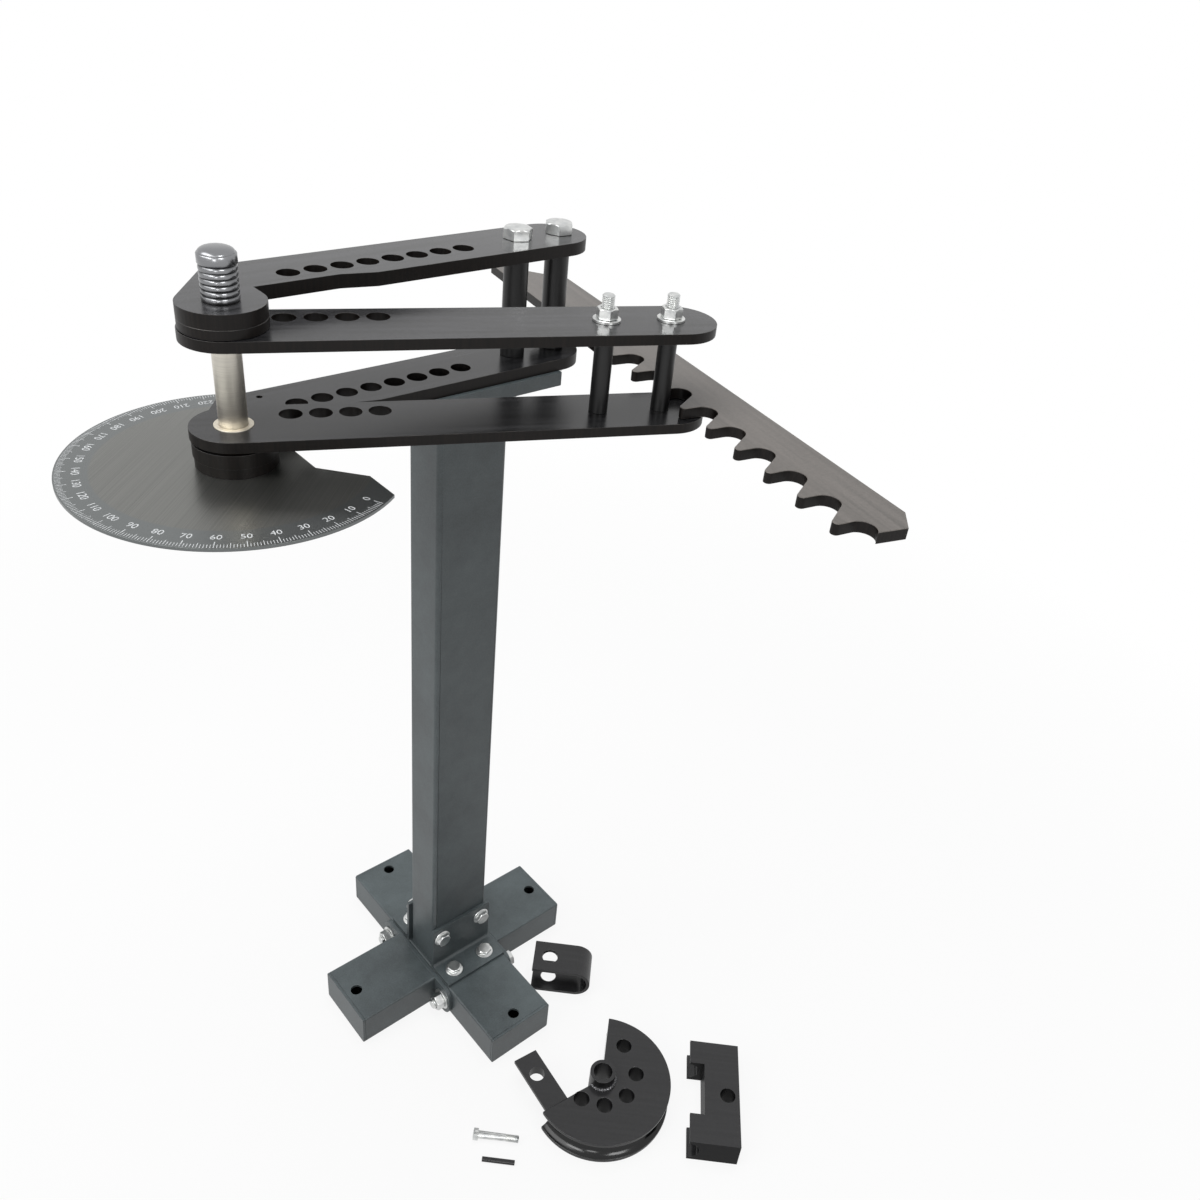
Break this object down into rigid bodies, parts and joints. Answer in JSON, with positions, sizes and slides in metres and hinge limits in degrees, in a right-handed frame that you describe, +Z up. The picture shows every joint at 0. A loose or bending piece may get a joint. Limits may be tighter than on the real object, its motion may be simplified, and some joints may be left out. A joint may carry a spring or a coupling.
{
  "type": "pipe bender",
  "caption": "Floor-standing manual pipe bender: box post on a cross base, fixed and swinging double plates on a pivot pin, notched ratchet bar, degree dial and a loose die set.",
  "frame": {"origin": "floor level, midway between the anchor holes of opposite feet", "axes": "+Z up along the post, +X along the fixed frame away from the main pin, +Y across it towards the side away from the swing frame"},
  "size_m": [0.6627, 0.7064, 1.1328],
  "materials": {
    "slate_paint": "dark slate grey powder coat, fine texture",
    "zinc_plate": "bright zinc plating",
    "black_plate": "satin black",
    "bar_scale": "thin black over oiled mill scale",
    "dial_face": "dark brushed grey with white graduations",
    "bush_metal": "machined bronze",
    "bright_steel": "turned bright steel",
    "black_oxide": "oiled black oxide"
  },
  "bodies": {
    "stand": {"cross_tube": "slate_paint", "left_foot_tube": "slate_paint", "right_foot_tube": "slate_paint", "foot_caps": "slate_paint", "left_flange": "slate_paint", "right_flange": "slate_paint", "flange_bolts": "zinc_plate", "flange_washers": "zinc_plate", "flange_nuts": "zinc_plate", "front_bracket": "slate_paint", "back_bracket": "slate_paint", "bracket_base_bolts": "zinc_plate", "base_weld_nuts": "zinc_plate", "bracket_post_bolts": "zinc_plate", "bracket_post_nuts": "zinc_plate", "post": "slate_paint", "saddle": "slate_paint", "lower_frame_plate": "black_plate", "upper_frame_plate": "black_plate", "inner_frame_spacer": "black_plate", "outer_frame_spacer": "black_plate", "bar_collar": "black_plate", "bar_bush": "bush_metal", "inner_frame_bolt": "zinc_plate", "outer_frame_bolt": "zinc_plate", "frame_nuts": "zinc_plate", "upper_boss": "black_plate", "thrust_washer": "bush_metal", "dial_boss": "black_plate", "dial_plate": "dial_face", "dial_screws": "zinc_plate"},
    "swing_frame": {"lower_swing_plate": "black_plate", "upper_swing_plate": "black_plate", "swing_bushes": "bush_metal", "swing_spacers": "black_plate", "swing_bolts": "zinc_plate", "swing_washers": "zinc_plate", "swing_nuts": "zinc_plate"},
    "pin": {"main_pin": "bright_steel"},
    "ratchet": {"ratchet_bar": "bar_scale"},
    "die": {"bending_die": "black_oxide", "die_hub": "black_oxide", "die_hook_bar": "black_oxide"},
    "follower": {"follower_block": "black_oxide"},
    "strap": {"tube_strap": "black_oxide"},
    "bolt": {"die_bolt": "zinc_plate"},
    "dowel": {"loose_pin": "black_oxide"}
  },
  "joints": [
    {"name": "swing_turn", "type": "hinge", "parent": "stand", "child": "swing_frame", "pos_m": [-0.271, -0.047, 1], "axis": [0, 0, 1], "range_deg": [-190, 0]},
    {"name": "ratchet_turn", "type": "hinge", "parent": "stand", "child": "ratchet", "pos_m": [0.122, 0, 0.985], "axis": [0, 0, 1], "range_deg": [-6.6, 40]},
    {"name": "pin_draw", "type": "slide", "parent": "stand", "child": "pin", "axis": [0, 0, 1], "range_m": [0, 0.15]},
    {"name": "die_lift", "type": "slide", "parent": "stand", "child": "die", "axis": [0, 0, 1], "range_m": [0, 0.3]},
    {"name": "follower_lift", "type": "slide", "parent": "stand", "child": "follower", "axis": [0, 0, 1], "range_m": [0, 0.3]},
    {"name": "strap_lift", "type": "slide", "parent": "stand", "child": "strap", "axis": [0, 0, 1], "range_m": [0, 0.3]},
    {"name": "bolt_lift", "type": "slide", "parent": "stand", "child": "bolt", "axis": [0, 0, 1], "range_m": [0, 0.3]},
    {"name": "dowel_lift", "type": "slide", "parent": "stand", "child": "dowel", "axis": [0, 0, 1], "range_m": [0, 0.3]}
  ]
}
